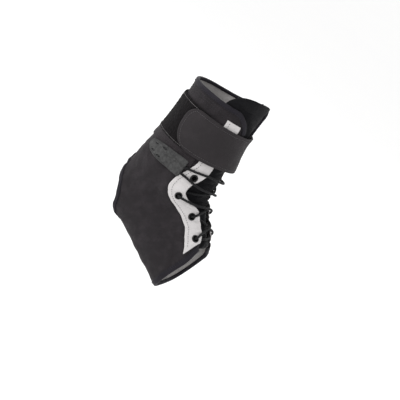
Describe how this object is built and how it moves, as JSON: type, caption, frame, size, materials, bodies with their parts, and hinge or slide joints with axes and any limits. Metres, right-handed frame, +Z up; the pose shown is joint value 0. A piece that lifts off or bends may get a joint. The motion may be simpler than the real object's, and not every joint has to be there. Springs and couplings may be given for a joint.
{
  "type": "lace-up ankle brace for a right foot",
  "caption": "Black lace-up ankle brace with an open heel, grey eyestays, a padded tongue, a plush band round the leg, a wide wrap strap and a hook tab for the lace ends.",
  "frame": {"origin": "centre of the ankle, inside the brace, where the wearer's ankle sits", "axes": "+Z up the leg, +X towards the toes, +Y towards the inner (medial) side of the right foot"},
  "size_m": [0.1342, 0.0938, 0.2412],
  "materials": {
    "nylon": "matte",
    "binding": "matte",
    "eyestay": "matte",
    "tongue": "matte",
    "plush": "matte",
    "strap": "matte",
    "tab": "matte",
    "lace": "matte",
    "eyelet": "satin"
  },
  "bodies": {
    "root": {"lateral_quarter": "nylon", "medial_quarter": "nylon", "lateral_eyestay": "eyestay", "medial_eyestay": "eyestay", "lateral_rim_binding": "binding", "medial_rim_binding": "binding", "lateral_heel_binding": "binding", "medial_heel_binding": "binding", "lateral_toe_binding": "binding", "medial_toe_binding": "binding", "lateral_eyelet_1": "eyelet", "lateral_eyelet_2": "eyelet", "lateral_eyelet_3": "eyelet", "lateral_eyelet_4": "eyelet", "medial_eyelet_1": "eyelet", "medial_eyelet_2": "eyelet", "medial_eyelet_3": "eyelet", "medial_eyelet_4": "eyelet", "tongue": "tongue", "elastic_band": "plush", "landing_strip": "plush", "wrap_strap": "strap", "lace_tab": "tab", "lace_a": "lace", "lace_b": "lace"}
  },
  "joints": []
}
